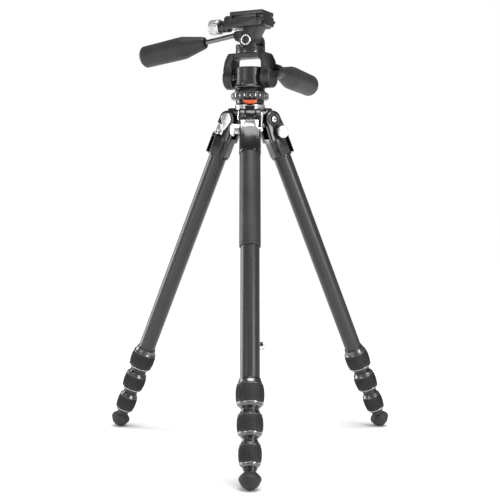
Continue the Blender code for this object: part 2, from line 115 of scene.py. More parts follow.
def arc(radius, start, end, count, centre=(0, 0)):
    """Points on an arc, in degrees."""
    turns = [math.radians(start + (end - start) * i / count) for i in range(count + 1)]
    return [(centre[0] + radius * math.cos(t), centre[1] + radius * math.sin(t)) for t in turns]


def circle(radius, centre=(0, 0), sides=48):
    return arc(radius, 0, 360, sides, centre)[:-1]


def rectangle(low, high, corner=0.0):
    corners = [low, (high[0], low[1]), high, (low[0], high[1])]
    return [(a, b, corner) for a, b in corners]


def eased(points, closed=True, steps=5):
    """Outline whose corners are rounded: a point is (a, b) or (a, b, radius)."""
    made = []
    for i, point in enumerate(points):
        corner = Vector(point[:2])
        if len(point) < 3 or point[2] <= 0 or (not closed and i in (0, len(points) - 1)):
            made.append(tuple(corner))
            continue
        before = Vector(points[i - 1][:2]) - corner
        after = Vector(points[(i + 1) % len(points)][:2]) - corner
        room = 0.48 * min(before.length, after.length)
        before.normalize()
        after.normalize()
        half = before.angle(after) / 2
        if half > math.radians(88):
            made.append(tuple(corner))
            continue
        reach = min(point[2] / math.tan(half), room)
        radius = reach * math.tan(half)
        centre = corner + (before + after).normalized() * radius / math.sin(half)
        start, end = corner + before * reach - centre, corner + after * reach - centre
        sweep = start.angle_signed(end)
        for k in range(steps + 1):
            made.append(tuple(centre + Matrix.Rotation(-sweep * k / steps, 2) @ start))
    return made


def to_mesh(work, name):
    bmesh.ops.recalc_face_normals(work, faces=work.faces)
    mesh = bpy.data.meshes.new(name)
    work.to_mesh(mesh)
    work.free()
    return mesh


def laid(axis, a, b, along):
    """A point of a shape whose own axis is along X, Y or Z."""
    return {"X": (along, a, b), "Y": (a, along, b), "Z": (a, b, along)}[axis]


def turned(profile, closed=False, sides=72, axis="Z", centre=(0, 0), cell=1.0, steps=5):
    """A turned shape from a half section of (radius, height) points. Its map is in cells round and along."""
    section = eased(profile, closed, steps)
    work = bmesh.new()
    layer = work.loops.layers.uv.new("along")
    cells = max(1, round(2 * math.pi * max(r for r, _ in section) / cell))
    rows, lengths = [], [0.0]
    for i, (r, z) in enumerate(section):
        if r < 1e-4:
            rows.append([work.verts.new(laid(axis, centre[0], centre[1], z))] * sides)
        else:
            turns = [2 * math.pi * k / sides for k in range(sides)]
            rows.append([work.verts.new(laid(axis, centre[0] + r * math.cos(t), centre[1] + r * math.sin(t),
                                             z)) for t in turns])
        following = Vector(section[(i + 1) % len(section)])
        lengths.append(lengths[-1] + (following - Vector((r, z))).length / cell)
    for i in range(len(section) - (0 if closed else 1)):
        here, there = rows[i], rows[(i + 1) % len(rows)]
        for k in range(sides):
            wrap = (k + 1) % sides
            corners = {here[k]: (k, i), here[wrap]: (k + 1, i), there[wrap]: (k + 1, i + 1),
                       there[k]: (k, i + 1)}
            if len(corners) < 3:
                continue
            face = work.faces.new(list(corners))
            face.smooth = True
            for loop in face.loops:
                step, row = corners[loop.vert]
                loop[layer].uv = (step / sides * cells, lengths[row])
    return to_mesh(work, "turned")


def prism(outline, low, high, axis="Z", edge=0.0, steps=2, corners=5):
    """A flat outline raised along one axis, with its two rims rounded."""
    outline = eased(outline, True, corners)
    work = bmesh.new()
    ends = [[work.verts.new(laid(axis, a, b, along)) for a, b in outline] for along in (low, high)]
    caps = [work.faces.new(end) for end in ends]
    for i in range(len(outline)):
        k = (i + 1) % len(outline)
        work.faces.new((ends[0][i], ends[0][k], ends[1][k], ends[1][i]))
    bmesh.ops.recalc_face_normals(work, faces=work.faces)
    if edge:
        rims = {rim for cap in caps for rim in cap.edges}
        bmesh.ops.bevel(work, geom=list(rims), offset=edge, segments=steps, profile=0.5, affect="EDGES",
                        clamp_overlap=True)
    return to_mesh(work, "prism")


def rod(radius, low, high, axis="Z", centre=(0, 0), edge=0.0, sides=48):
    return prism(circle(radius, centre, sides), low, high, axis, edge)


def block(low, high, edge=0.0, corner=0.0):
    return prism(rectangle(low[:2], high[:2], corner), low[2], high[2], "Z", edge)


def moved(mesh, matrix):
    mesh.transform(matrix)
    return mesh


def in_scene(name, data):
    made = bpy.data.objects.new(name, data)
    bpy.context.scene.collection.objects.link(made)
    return made


def evaluated(mesh, add_modifiers):
    """The mesh after modifiers, with everything used on the way removed."""
    holder = in_scene("work", mesh)
    helpers = add_modifiers(holder) or []
    graph = bpy.context.evaluated_depsgraph_get()
    made = bpy.data.meshes.new_from_object(holder.evaluated_get(graph))
    holder.modifiers.clear()
    for used in [holder, *helpers]:
        spent = used.data
        bpy.data.objects.remove(used, do_unlink=True)
        bpy.data.meshes.remove(spent)
    return made


def combined(operation, mesh, others):
    def add(holder):
        helpers = []
        for other in others:
            helper = in_scene("helper", other)
            step = holder.modifiers.new("step", "BOOLEAN")
            step.operation = operation
            step.object = helper
            step.solver = "EXACT"
            helpers.append(helper)
        return helpers
    return evaluated(mesh, add)


def fused(mesh, *others):
    return combined("UNION", mesh, others)


def carved(mesh, *others):
    return combined("DIFFERENCE", mesh, others)


def softened(mesh, width, angle=35, steps=2):
    """Edges sharper than an angle broken with a small round."""
    def add(holder):
        weld = holder.modifiers.new("weld", "WELD")
        weld.merge_threshold = 0.004
        bevel = holder.modifiers.new("bevel", "BEVEL")
        bevel.width = width
        bevel.segments = steps
        bevel.limit_method = "ANGLE"
        bevel.angle_limit = math.radians(angle)
        bevel.use_clamp_overlap = True
    return evaluated(mesh, add)


def copies_tree():
    """Geometry nodes that repeat a shape round Z, each copy turned and raised a little further."""
    tree = bpy.data.node_groups.new("copies round an axis", "GeometryNodeTree")
    kinds = {"Shape": "Geometry", "Count": "Int", "Turn": "Float", "Shift": "Vector", "Finish": "Material"}
    for name, kind in kinds.items():
        tree.interface.new_socket(name, in_out="INPUT", socket_type=f"NodeSocket{kind}")
    tree.interface.new_socket("Copies", in_out="OUTPUT", socket_type="NodeSocketGeometry")
    make, link = tree.nodes.new, tree.links.new
    given, result = make("NodeGroupInput"), make("NodeGroupOutput")
    points, index = make("GeometryNodePoints"), make("GeometryNodeInputIndex")
    turn, rotation = make("ShaderNodeMath"), make("ShaderNodeCombineXYZ")
    shift = make("ShaderNodeVectorMath")
    place, whole = make("GeometryNodeInstanceOnPoints"), make("GeometryNodeRealizeInstances")
    finish = make("GeometryNodeSetMaterial")
    turn.operation = "MULTIPLY"
    shift.operation = "SCALE"
    link(given.outputs["Count"], points.inputs["Count"])
    link(index.outputs[0], turn.inputs[0])
    link(given.outputs["Turn"], turn.inputs[1])
    link(turn.outputs[0], rotation.inputs["Z"])
    link(given.outputs["Shift"], shift.inputs[0])
    link(index.outputs[0], shift.inputs["Scale"])
    link(shift.outputs[0], points.inputs["Position"])
    link(points.outputs[0], place.inputs["Points"])
    link(given.outputs["Shape"], place.inputs["Instance"])
    link(rotation.outputs[0], place.inputs["Rotation"])
    link(place.outputs[0], whole.inputs[0])
    link(whole.outputs[0], finish.inputs["Geometry"])
    link(given.outputs["Finish"], finish.inputs["Material"])
    link(finish.outputs[0], result.inputs[0])
    return tree


COPIES = copies_tree()
SOCKETS = {item.name: item.identifier for item in COPIES.interface.items_tree if item.in_out == "INPUT"}


def copies(mesh, count, finish, turn=None, shift=(0, 0, 0)):
    """Copies of a mesh all the way round Z, or by a set turn and shift from each to the next."""
    def add(holder):
        step = holder.modifiers.new("copies", "NODES")
        step.node_group = COPIES
        step[SOCKETS["Count"]] = count
        step[SOCKETS["Turn"]] = 2 * math.pi / count if turn is None else math.radians(turn)
        step[SOCKETS["Shift"]] = shift
        step[SOCKETS["Finish"]] = finish
    return evaluated(mesh, add)


shown_for = set()


def piece(name, place, shells, slot, *nodes):
    """One finished object made of (mesh, finish) shells. It rides with, and stands for, its CAD nodes."""
    work = bmesh.new()
    finishes = []
    for shell, finish in shells:
        if finish not in finishes:
            finishes.append(finish)
        start = len(work.faces)
        work.from_mesh(shell)
        work.faces.ensure_lookup_table()
        for face in work.faces[start:]:
            face.material_index = finishes.index(finish)
        bpy.data.meshes.remove(shell)
    mesh = bpy.data.meshes.new(name)
    work.to_mesh(mesh)
    work.free()
    for finish in finishes:
        mesh.materials.append(finish)
    mesh.transform(place @ Matrix.Scale(MM, 4))
    mesh.shade_smooth()
    mesh.set_sharp_from_angle(angle=math.radians(33))
    made = in_scene(name, mesh)
    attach(made, BODY_OF[nodes[0]])
    if nodes[0] not in shown_for:
        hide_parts(*nodes)
        shown_for.update(nodes)
    return made


# ---------------------------------------------------------------- finishes

class Finish:
    """A material under construction: nodes are added with their inputs as keyword values or sockets."""

    def __init__(self, name, colour, rough, metal=0.0, gloss=0.5):
        self.material = bpy.data.materials.new(name)
        self.material.use_nodes = True
        self.tree = self.material.node_tree
        self.shader = self.tree.nodes["Principled BSDF"]
        self.put("Base Color", (*colour, 1.0))
        self.put("Roughness", rough)
        self.put("Metallic", metal)
        self.put("Specular IOR Level", gloss)
        coordinates = self.tree.nodes.new("ShaderNodeTexCoord")
        self.place = coordinates.outputs["Object"]
        self.map = coordinates.outputs["UV"]

    def put(self, socket, value, node=None):
        target = (node or self.shader).inputs[socket]
        if isinstance(value, bpy.types.NodeSocket):
            self.tree.links.new(value, target)
        else:
            target.default_value = value

    def node(self, kind, inputs, out=0, **settings):
        made = self.tree.nodes.new(kind)
        for key, value in settings.items():
            setattr(made, key, value)
        for key, value in inputs.items():
            self.put(key, value, made)
        return made.outputs[out]

    def math(self, operation, a, b=0.0):
        return self.node("ShaderNodeMath", {0: a, 1: b}, operation=operation)

    def noise(self, size, detail=3.0, rough=0.55, place=None):
        """Noise whose lumps are about that many millimetres."""
        return self.node("ShaderNodeTexNoise", {"Vector": place or self.place, "Scale": 1 / (size * MM),
                                                "Detail": detail, "Roughness": rough})

    def stretched(self, scale):
        return self.node("ShaderNodeMapping", {"Vector": self.place, "Scale": scale})

    def span(self, value, low, high, start=0.3, end=0.7):
        """The value between start and end, carried over to low and high."""
        return self.node("ShaderNodeMapRange", {"Value": value, "From Min": start, "From Max": end,
                                                "To Min": low, "To Max": high})

    def blend(self, share, first, second):
        return self.node("ShaderNodeMix", {0: share, "A": (*first, 1.0), "B": (*second, 1.0)}, out=2,
                         data_type="RGBA")

    def bump(self, height, depth, strength=1.0):
        """Relief of that many millimetres."""
        self.put("Normal", self.node("ShaderNodeBump", {"Height": height, "Strength": strength,
                                                        "Distance": depth * MM}))
        return self.material


def carbon_weave():
    """Twill of carbon tows under satin resin, laid along the tube's own map."""
    finish = Finish("carbon_weave", (0.02, 0.02, 0.021), 0.36)
    parts = finish.tree.nodes.new("ShaderNodeSeparateXYZ")
    finish.put(0, finish.map, parts)
    u, v = parts.outputs["X"], parts.outputs["Y"]
    step = finish.math("ADD", finish.math("FLOOR", u), finish.math("FLOOR", v))
    over = finish.math("LESS_THAN", finish.math("FLOORED_MODULO", step, 4.0), 2.0)
    crowns = [finish.math("SINE", finish.math("MULTIPLY", finish.math("FRACT", t), math.pi)) for t in (u, v)]
    height = finish.node("ShaderNodeMix", {0: over, 2: crowns[0], 3: crowns[1]})
    finish.put("Base Color", finish.blend(over, (0.011, 0.0112, 0.0116), (0.021, 0.0213, 0.022)))
    cloud = finish.noise(5.0)
    finish.put("Roughness", finish.math("ADD", finish.span(cloud, 0.27, 0.37),
                                        finish.math("MULTIPLY", over, 0.07)))
    finish.put("Coat Weight", 0.25)
    finish.put("Coat Roughness", 0.22)
    return finish.bump(height, 0.06, 0.5)


def rubber(name, colour, rough, grain, relief):
    """Moulded rubber: fine grain, dusty lighter patches and a broad sheen."""
    finish = Finish(name, colour, rough, gloss=0.45)
    fine, broad = finish.noise(grain), finish.noise(22.0, 2.0)
    pale = tuple(c * 1.5 + 0.002 for c in colour)
    finish.put("Base Color", finish.blend(finish.span(broad, 0.0, 1.0), colour, pale))
    finish.put("Roughness", finish.span(fine, rough - 0.08, rough + 0.08))
    return finish.bump(fine, relief, 0.8)


def casting(name, colour, rough, grain, relief, coat=0.0):
    """Painted aluminium casting: orange peel or powder grain, and a little unevenness in its gloss."""
    finish = Finish(name, colour, rough)
    peel, cloud = finish.noise(grain, 2.0), finish.noise(14.0, 2.0)
    lighter = tuple(c * 1.6 + 0.001 for c in colour)
    finish.put("Base Color", finish.blend(finish.span(peel, 0.0, 1.0), colour, lighter))
    finish.put("Roughness", finish.span(cloud, rough - 0.05, rough + 0.06))
    finish.put("Coat Weight", coat)
    finish.put("Coat Roughness", 0.12)
    return finish.bump(peel, relief, 0.7)


def turned_metal(name, colour, rough, line, relief, metal=1.0):
    """Metal with fine level tool lines and broad patches of slightly paler colour."""
    finish = Finish(name, colour, rough, metal)
    lines = finish.noise(line, 2.0, place=finish.stretched((0.04, 0.04, 1.0)))
    cloud = finish.noise(9.0, 2.0)
    paler = tuple(min(1.0, c * 1.18 + 0.004) for c in colour)
    finish.put("Base Color", finish.blend(finish.span(cloud, 0.0, 1.0), colour, paler))
    finish.put("Roughness", finish.span(lines, rough - 0.05, rough + 0.07))
    return finish.bump(lines, relief, 0.6)


CARBON = carbon_weave()
LOCK_RUBBER = rubber("lock_rubber", (0.0095, 0.0095, 0.0098), 0.60, 0.7, 0.05)
FOOT_RUBBER = rubber("foot_rubber", (0.014, 0.014, 0.014), 0.62, 0.9, 0.06)
SLEEVE_RUBBER = rubber("sleeve_rubber", (0.017, 0.017, 0.0175), 0.46, 0.6, 0.04)
GRIP_RUBBER = rubber("grip_rubber", (0.013, 0.013, 0.0135), 0.48, 0.8, 0.05)
GLOSS_BLACK = casting("gloss_black_casting", (0.004, 0.004, 0.0042), 0.22, 0.9, 0.010, 0.4)
GRAIN_BLACK = casting("grained_black_casting", (0.008, 0.008, 0.0084), 0.36, 0.55, 0.04)
# Matt black for the real dark seams on the collar, and for a painted shadow strip under the plate on the clamp's
# front wall
SEAM_AND_SHADE_BLACK = casting("matt_black_seams_and_painted_shade", (0.006, 0.006, 0.006), 0.6, 0.8, 0.02)
ANODISED = turned_metal("satin_anodised", (0.055, 0.055, 0.057), 0.34, 0.35, 0.006, 0.85)
GUNMETAL = turned_metal("polished_gunmetal", (0.145, 0.145, 0.15), 0.27, 0.4, 0.004)
BRIGHT_GUNMETAL = turned_metal("bright_gunmetal", (0.30, 0.30, 0.31), 0.20, 0.4, 0.004)
SILVER = turned_metal("polished_silver", (0.60, 0.60, 0.60), 0.26, 0.5, 0.006)
CHROME = turned_metal("bright_chrome", (0.78, 0.78, 0.78), 0.14, 0.6, 0.002)
DARK_CHROME = turned_metal("dark_chrome", (0.16, 0.16, 0.165), 0.16, 0.6, 0.003)
ORANGE = turned_metal("orange_anodised", (0.90, 0.115, 0.030), 0.34, 0.5, 0.006, 0.35)
PALE_METAL = turned_metal("pale_satin_metal", (0.86, 0.86, 0.86), 0.42, 0.5, 0.004, 0.6)
DARK_SILVER = turned_metal("dark_brushed_silver", (0.36, 0.36, 0.365), 0.30, 0.4, 0.006)
WHITE_PAINT = casting("white_index_paint", (0.80, 0.80, 0.78), 0.45, 0.5, 0.01)
PAD_RUBBER = rubber("plate_pad_rubber", (0.016, 0.016, 0.016), 0.75, 0.5, 0.06)


# ---------------------------------------------------------------- legs

def leg_tube(side, index, place):
    node = f"leg_{side}_tube_{index}"
    low, high = extent(node, place)
    wall = 1.45
    radius = high.y
    section = [(radius, high.z), (radius, low.z + 0.4), (radius - 0.4, low.z), (radius - wall, low.z),
               (radius - wall, high.z)]
    piece(f"{node}_carbon", place, [(turned(section, True, 96, cell=WEAVE), CARBON)], "carbon_tube", node)


def twist_lock(side, index, place):
    """Ribbed rubber barrel between two polished rings, with a black collar at each end."""
    node = f"leg_{side}_lock_{index}"
    low, high = extent(node, place)
    tube = extent(f"leg_{side}_tube_{index}", place)[1].y + SLIT
    inner = extent(f"leg_{side}_tube_{index + 1}", place)[1].y + SLIT
    radius, top, end = high.x, high.z, low.z
    cone = top - (9.4 if index == 1 else 7.2)
    ring = end + 7.2
    waist = (cone + ring) / 2
    barrel = [(radius - 1.5, cone + 0.2, 0.6), (radius - 1.2, cone - 1.6, 2.0), (radius - 0.6, waist, 20.0),
              (radius - 0.9, ring + 1.8, 2.0), (radius - 1.3, ring - 0.2, 0.6), (radius - 3.2, ring - 0.2),
              (radius - 3.2, cone + 0.2)]
    height = cone - ring - 1.6
    bow = [(radius - 0.9 + 1.15 * math.sin(math.pi * k / 8) ** 0.5,
            cone - 0.8 - height * k / 8) for k in range(9)]
    rib = prism([(radius - 2.0, cone - 0.8)] + bow + [(radius - 2.0, ring + 0.8)], -0.7, 0.7, "Y", 0.5)
    ribs = copies(rib, 34, LOCK_RUBBER)
    piece(f"{node}_barrel", place, [(turned(barrel, True, 80), LOCK_RUBBER), (ribs, LOCK_RUBBER)],
          "lock_rubber", node)

    upper = [(tube + 1.5, top - 2.4, 0.4), (radius - 2.4, cone + 3.0, 1.6), (radius - 0.8, cone + 0.9, 0.6),
             (radius - 0.9, cone + 0.3, 0.2), (radius - 3.0, cone + 0.3), (tube, top - 2.7),
             (tube, top - 2.4)]
    bead = [(radius - 0.7, ring - 0.4, 0.4), (radius - 0.8, ring - 1.9, 0.6),
            (radius - 1.8, ring - 2.3, 0.2), (radius - 3.4, ring - 2.0), (radius - 3.4, ring - 0.4)]
    lower = [(radius - 1.6, ring - 2.1), (radius - 1.5, ring - 3.0, 0.3), (inner + 3.0, end + 1.9, 1.2),
             (inner + 2.2, end + 1.5, 0.3), (inner + 0.5, end + 1.5), (radius - 3.6, ring - 2.1)]
    piece(f"{node}_rings", place, [(turned(upper, True, 96), GUNMETAL),
                                   (turned(bead, True, 96), BRIGHT_GUNMETAL),
                                   (turned(lower, True, 96), GUNMETAL)], "polished_silver", node)
    lip = [(tube, top), (tube + 1.0, top, 0.4), (tube + 1.2, top - 2.2), (tube + 1.2, top - 3.4),
           (tube, top - 3.4)]
    collar = [(inner, end + 3.2), (inner + 1.7, end + 3.2), (inner + 1.7, end, 0.5), (inner, end)]
    piece(f"{node}_collars", place, [(turned(lip, True), GLOSS_BLACK), (turned(collar, True), GLOSS_BLACK)],
          "black_casting", node)


def foot(side, place):
    """Rubber foot like a rounded diamond, on a short black sleeve that holds the last tube."""
    node = f"leg_{side}_foot"
    low, high = extent(node, place)
    top, tip, wide = high.z, low.z, high.x
    section = [(0, tip + 0.2), (4.4, tip + 0.4, 3.0), (10.6, tip + 4.6, 9.0), (wide + 1.0, top - 11.6, 5.0),
               (9.4, top - 5.0, 3.0), (6.4, top - 3.0, 0.8), (0, top - 3.0)]
    tube = extent(f"leg_{side}_tube_4", place)[1].y
    sleeve = [(0, top - 3.2), (tube - 0.9, top - 3.2), (tube + 1.2, top - 2.0, 0.5),
              (tube + 1.4, top - 0.6, 0.4), (tube + 1.4, top + 0.0, 0.4), (tube + 0.9, top, 0.3), (0, top)]
    groove = turned([(0, tip - 3.0), (1.6, tip - 3.0), (1.0, tip + 1.4), (0, tip + 1.4)], sides=24)
    piece(f"{node}_rubber", place, [(carved(turned(section, sides=80), groove), FOOT_RUBBER)], "foot_rubber",
          node)
    piece(f"{node}_sleeve", place, [(turned(sleeve, sides=80), GLOSS_BLACK)], "black_casting", node)


def grip_sleeve(place):
    node = "leg_front_grip_sleeve"
    low, high = extent(node, place)
    bore = extent("leg_front_tube_1", place)[1].y + SLIT
    section = [(high.y - 0.25, high.z, 0.3), (high.y, high.z - 2.0), (high.y, low.z + 4.2),
               (high.y - 0.35, low.z + 3.9), (high.y - 0.35, low.z + 3.3), (high.y, low.z + 3.0),
               (high.y, low.z + 0.8, 0.5), (high.y - 0.8, low.z, 0.3), (bore, low.z), (bore, high.z)]
    piece("leg_front_grip_sleeve_rubber", place, [(turned(section, True, 96), SLEEVE_RUBBER)],
          "sleeve_rubber", node)


def yoke(side, place):
    """Glossy casting: a socket for the tube, and two cheeks that hold the hinge bolt and the stop block."""
    node = f"leg_{side}_yoke"
    low, high = extent(node, place)
    end, cheek = low.z, high.z
    bore = extent(f"leg_{side}_tube_1", place)[1].y + SLIT
    flats = [(14.6, -7.6, 1.2), (14.6, 7.6, 1.2), (7.6, 15.2, 1.2), (-7.6, 15.2, 1.2), (-14.6, 7.6, 1.2),
             (-14.6, -7.6, 1.2), (-7.6, -15.2, 1.2), (7.6, -15.2, 1.2)]
    shell = prism(flats, end + 3.2, -25.0, "Z", 0.6)
    lip = rod(15.5, end, end + 3.4, edge=0.5, sides=96)
    outline = arc(cheek, -8, 196, 26) + [(-14.2, -25.0, 4.0), (-14.2, -31.0), (14.6, -31.0),
                                         (14.6, -25.0, 4.0)]
    cheeks = [prism(outline, 7.2, 15.0, "Y", 0.9), prism(outline, -15.0, -7.2, "Y", 0.9)]
    boss = turned([(0, -13.0), (10.0, -13.0), (10.0, -16.2, 0.5), (8.9, -16.2, 0.3), (8.5, -15.5),
                   (6.7, -15.5), (6.5, -16.2, 0.2), (5.5, -16.2, 0.2), (5.2, -14.6), (0, -14.6)], axis="Y",
                  sides=72)
    body = fused(shell, lip, *cheeks, boss)
    pocket = block((-1.6, -13.8, -27.5), (24.0, 20.0, -9.4), corner=0.0)
    window = prism(rectangle((-2.3, -27.3), (10.3, -14.7), 2.0), -20.0, -12.0, "Y")
    slot = block((-20.0, -7.2, -24.6), (20.0, 7.2, 20.0))
    body = carved(body, rod(bore, end - 5.0, -32.0, sides=72), pocket, window, slot,
                  rod(3.3, -20.0, 20.0, "Y", sides=32))
    shield = arc(17.6, 42, 138, 20, (0, -38.6)) + [(-13.1, end + 1.2, 2.0), (13.1, end + 1.2, 2.0)]
    badge = arc(14.6, 46, 134, 16, (0, -38.6)) + [(-10.1, end + 6.6, 2.0), (10.1, end + 6.6, 2.0)]
    shells = [(softened(body, 0.45), GLOSS_BLACK), (prism(shield, 14.3, 15.5, "X", 0.5), GLOSS_BLACK),
              (prism(badge, 15.2, 15.8, "X", 0.25), GLOSS_BLACK)]
    piece(f"{node}_casting", place, shells, "black_casting", node)


def stop_block(side, place):
    """Silver stop between the cheeks, with its round push button on one side and a pin on the other."""
    node = f"leg_{side}_angle_button"
    outline = [(0.0, -10.2, 1.0), (9.0, -9.9, 1.2), (12.6, -10.2, 1.6), (13.4, -27.2, 0.8),
               (0.0, -27.2, 1.0)]
    body = prism(outline, -13.4, 12.0, "Y", 0.5)
    at_rest, pushed = 0.0, -3.0
    room = [moved(rod(15.7, -40.0, -24.7, sides=72), Matrix.Translation((0, shift, 0)))
            for shift in (at_rest, pushed)]
    scoop = prism(circle(30.0, (42.0, -17.0), 72), -9.5, 8.5, "Y", 3.0, 4)
    body = carved(body, *room, scoop, block((-5.0, -10.6, -14.5), (6.0, 7.3, -5.0)))
    arm = block((-0.8, -23.6, -26.0), (9.0, -12.5, -16.0), 0.5, 1.0)
    ridges = copies(block((0.6, -23.4, -26.3), (7.6, -13.2, -25.9), 0.1), 4, SILVER, 0, (0, 0, 2.9))
    disc = turned([(0, -22.0), (7.9, -22.0), (8.8, -23.0, 0.6), (8.8, -25.0, 2.4), (6.4, -27.6, 4.0),
                   (0, -28.2)], axis="Y", centre=(2.4, -21.2))
    pin = turned([(0, 11.0), (3.0, 11.0), (3.0, 17.2, 0.8), (2.1, 18.2, 0.4), (0, 18.2)], axis="Y",
                 centre=(6.0, -22.5), sides=40)
    shells = [(softened(body, 0.35), SILVER), (arm, SILVER), (ridges, SILVER), (disc, PALE_METAL),
              (pin, CHROME)]
    piece(f"{node}_silver", place, shells, "polished_silver", node)


def hinge_bolt(side, place):
    """Socket-head bolt on one side and a drop-shaped nut plate on the other."""
    node = f"leg_{side}_hinge_bolt"
    head = turned([(0, -15.0), (4.0, -15.0), (4.0, -17.9, 0.7), (2.8, -18.1, 0.2), (2.5, -17.6), (0, -17.6)],
                  axis="Y")
    socket = prism(circle(2.1, sides=6), -20.0, -16.2, "Y")
    drop = arc(9.0, 0, 180, 24) + [(-6.8, -8.0, 6.0), (-4.2, -15.4, 1.4), (-2.6, -16.0, 1.0),
                                   (-1.0, -15.4, 1.4), (3.4, -8.0, 6.0)]
    plate = prism(drop, 15.3, 17.3, "Y", 0.6, 3)
    nut = turned([(0, 17.0), (4.6, 17.0), (4.6, 18.0, 0.4), (0, 18.1)], axis="Y", sides=48)
    shells = [(rod(3.0, -16.8, 16.0, "Y"), CHROME), (carved(head, socket), CHROME), (plate, SILVER),
              (nut, SILVER)]
    piece(f"{node}_steel", place, shells, "steel", node)


def leg(side):
    place = leg_place(side)
    for index in (1, 2, 3, 4):
        leg_tube(side, index, place)
    for index in (1, 2, 3):
        twist_lock(side, index, place)
    foot(side, place)
    yoke(side, place)
    stop_block(side, place)
    hinge_bolt(side, place)
    if side == "front":
        grip_sleeve(place)


# ---------------------------------------------------------------- spider and column

def spider():
    """Hub under the collar, with a ribbed tongue for each leg."""
    hinge = height_of("leg_front_spread")
    rho = (COLUMN_FOOT - position("leg_front_spread")).to_2d().length / MM
    hub = turned([(13.6, 489.0), (18.9, 489.0, 0.5), (19.5, 488.2), (19.5, 471.0), (18.6, 470.4),
                  (18.6, 468.8), (19.5, 468.2), (19.5, 463.4), (18.6, 462.5, 0.4), (13.6, 462.5)], True, 96)
    outline = arc(12.0, -90, 80, 20, (rho, hinge))
    outline += [(rho + 2.1, hinge + 16.5, 0.8), (23.0, hinge + 16.5, 0.8), (23.0, hinge + 11.5),
                (15.0, hinge + 11.5), (15.0, hinge - 12.0)]
    tongues, screws = [], []
    for side in SIDES:
        at = position(f"leg_{side}_spread") - COLUMN_FOOT
        turn = Matrix.Rotation(math.atan2(at.y, at.x), 4, "Z")
        tongue = prism(outline, -6.9, 6.9, "Y", 0.6)
        ribs = copies(block((rho - 4.0, -7.05, hinge + 11.4), (rho + 4.6, 7.05, hinge + 12.2), 0.2), 2,
                      GLOSS_BLACK, 0, (-1.0, 0, 2.3))
        tongues += [(moved(tongue, turn), GLOSS_BLACK), (moved(ribs, turn), GLOSS_BLACK)]
        screw = turned([(0, 19.0), (3.2, 19.0), (3.2, 20.6, 0.5), (1.7, 20.7), (1.5, 20.0), (0, 20.0)],
                       axis="X", centre=(0, 484.6), sides=40)
        screws.append((moved(screw, turn @ Matrix.Rotation(math.radians(-48), 4, "Z")), CHROME))
    piece("spider_casting", BASE, [(hub, GLOSS_BLACK), *tongues, *screws], "black_casting", "spider")


def collar():
    low, high = extent("silver_collar", BASE)
    ring = turned([(16.4, high.z), (20.4, high.z, 0.3), (high.x, high.z - 1.5, 0.4),
                   (21.4, low.z + 3.4, 0.3), (20.9, low.z + 3.0), (21.0, low.z, 0.3), (16.4, low.z)], True,
                  96)
    scoop = rod(18.5, -40.0, -5.0, "Y", (0, 513.5), sides=96)
    seams = copies(block((20.0, -0.35, low.z + 3.2), (21.7, 0.35, high.z - 2.2)), 12, SEAM_AND_SHADE_BLACK)
    piece("silver_collar_ring", BASE, [(softened(carved(ring, scoop), 0.3), DARK_SILVER),
                                       (seams, SEAM_AND_SHADE_BLACK)], "polished_silver", "silver_collar")


def column():
    """Centre tube with its head, the orange tab, the notched top disc and the base of the head."""
    low, high = extent("centre_column", BASE)
    tube = [(high.y, high.z), (high.y, low.z + 0.4), (high.y - 0.4, low.z), (high.y - 2.0, low.z),
            (high.y - 2.0, high.z)]
    piece("centre_column_carbon", BASE, [(turned(tube, True, 96, cell=WEAVE), CARBON)], "carbon_tube",
          "centre_column")
    neck = turned([(13.3, 490.2), (15.8, 490.2), (15.8, 498.0), (20.5, 498.4, 0.4), (20.5, 503.2),
                   (0, 503.2), (0, 496.3), (13.3, 496.3)], sides=96)
    piece("column_head_casting", BASE, [(neck, GLOSS_BLACK)], "black_casting", "column_head")
    moon = prism(arc(14.0, 217, 323, 24, (0, 511.0)), -22.9, -20.9, "Y", 0.35)
    piece("orange_index_tab_anodised", BASE, [(moon, ORANGE)], "orange_anodised", "orange_index_tab")

    low, high = extent("platform_disc", BASE)
    rim = high.x
    disc = turned([(0, high.z), (rim - 6.0, high.z), (rim - 5.4, high.z - 0.4),
                   (rim - 2.4, high.z - 0.9, 0.3), (rim - 1.2, high.z - 1.6, 0.4), (rim - 1.4, high.z - 2.4),
                   (rim, high.z - 2.9, 0.4), (rim, low.z + 2.8, 0.6), (rim - 2.4, low.z, 0.3), (0, low.z)],
                  sides=132)
    notches = copies(rod(2.7, low.z - 1.0, high.z - 2.5, "Z", (rim + 0.9, 0), 0.3, 24), 22, GLOSS_BLACK)
    # Small silver pads on the lands between the notches are painted highlights: they stand in for the glints on
    # the glossy black rim
    glint_pad = block((rim - 0.5, -0.9, low.z + 3.6), (rim + 0.1, 0.9, high.z - 3.6), 0.2, 0.5)
    glint_pads = moved(copies(glint_pad, 22, SILVER), Matrix.Rotation(math.pi / 22, 4, "Z"))
    # Thin dark silver ring on the top bevel: a painted highlight for the bright line along the disc's top edge
    painted_highlight_ring = [(rim - 5.6, high.z - 0.1), (rim - 2.2, high.z - 0.75), (rim - 2.4, high.z - 1.2),
             (rim - 5.8, high.z - 0.6)]
    piece("platform_disc_casting", BASE, [(softened(carved(disc, notches), 0.3), GLOSS_BLACK),
                                          (glint_pads, SILVER), (turned(painted_highlight_ring, True, 96), DARK_SILVER)],
          "black_casting", "platform_disc")
    low, high = extent("head_base", BASE)
    base = turned([(0, high.z), (21.2, high.z, 0.3), (21.7, high.z - 1.8), (21.2, high.z - 2.1),
                   (22.6, low.z + 0.8), (high.x, low.z + 0.4, 0.2), (high.x - 0.2, low.z), (0, low.z)],
                  sides=96)
    piece("head_base_casting", BASE, [(base, GLOSS_BLACK)], "black_casting", "head_base")


